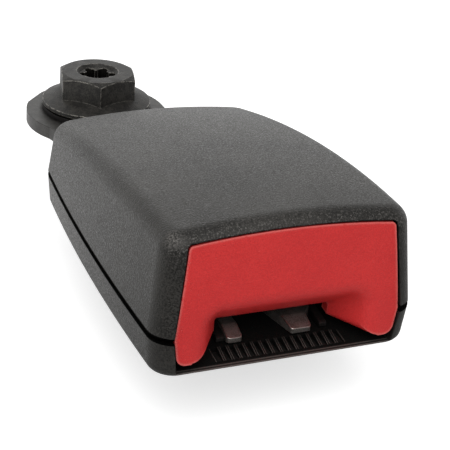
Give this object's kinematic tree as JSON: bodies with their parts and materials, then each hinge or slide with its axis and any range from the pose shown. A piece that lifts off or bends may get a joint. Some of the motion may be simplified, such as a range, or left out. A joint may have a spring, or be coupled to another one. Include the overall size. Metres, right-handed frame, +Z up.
{
  "type": "seat belt buckle",
  "caption": "End-release seat belt buckle: two-part cover, press button over the tongue slot, steel frame and latch inside, anchor strap with bolt.",
  "frame": {"origin": "on the anchor bolt axis, at the underside of the keeper washer, which is the face that seats on the car", "axes": "+Z up along the bolt towards its head, -Y towards the mouth where the belt tongue goes in, +X to the right seen from the mouth"},
  "size_m": [0.0534, 0.1234, 0.0431],
  "materials": {
    "cover_black": "fine grained matte charcoal plastic",
    "button_red": "satin red plastic",
    "inner_black": "plain black acetal",
    "frame_steel": "worn brown-grey steel",
    "latch_steel": "zinc plated steel",
    "spring_steel": "bright steel",
    "screw_steel": "zinc plated steel",
    "phosphated_steel": "dark phosphated steel"
  },
  "bodies": {
    "housing": {"upper_cover": "cover_black", "lower_cover": "cover_black", "cover_screws": "screw_steel", "button_spring_left": "spring_steel", "button_spring_right": "spring_steel", "buckle_frame": "frame_steel", "tongue_guide": "inner_black", "latch_pin": "spring_steel", "latch_spring_left": "spring_steel", "latch_spring_right": "spring_steel", "ejector_spring": "spring_steel", "anchor_strap": "phosphated_steel", "frame_rivets": "screw_steel", "anchor_bush": "inner_black", "spring_washer": "phosphated_steel", "keeper_washer": "inner_black"},
    "button": {"release_button": "button_red"},
    "lock": {"lock_pin": "spring_steel"},
    "latch": {"latch_plate": "latch_steel"},
    "ejector": {"ejector": "inner_black"},
    "bolt": {"anchor_bolt": "phosphated_steel"}
  },
  "joints": [
    {"name": "button_press", "type": "slide", "parent": "housing", "child": "button", "axis": [0, 1, 0], "range_m": [0, 0.004], "stiffness_N_per_m": 500, "springref_m": -0.006, "deforming": ["button_spring_left", "button_spring_right"]},
    {"name": "ejector_slide", "type": "slide", "parent": "housing", "child": "ejector", "axis": [0, 1, 0], "range_m": [0, 0.009], "stiffness_N_per_m": 250, "springref_m": -0.01, "deforming": ["ejector_spring"]},
    {"name": "latch_hinge", "type": "hinge", "parent": "housing", "child": "latch", "pos_m": [0.0032, -0.059, 0.007], "axis": [1, 0, 0], "range_deg": [0, 11], "deforming": ["latch_spring_left", "latch_spring_right"]},
    {"name": "lock_slide", "type": "slide", "parent": "button", "child": "lock", "axis": [0, -1, 0], "range_m": [0, 0.006]},
    {"name": "bolt_turn", "type": "hinge", "parent": "housing", "child": "bolt", "pos_m": [0, 0, 0], "axis": [0, 0, 1], "continuous": true}
  ],
  "couplings": [
    {"joint": "latch_hinge", "follows": "ejector_slide", "rad_per_m": 21.33},
    {"joint": "lock_slide", "follows": "ejector_slide", "ratio": 0.6666}
  ]
}
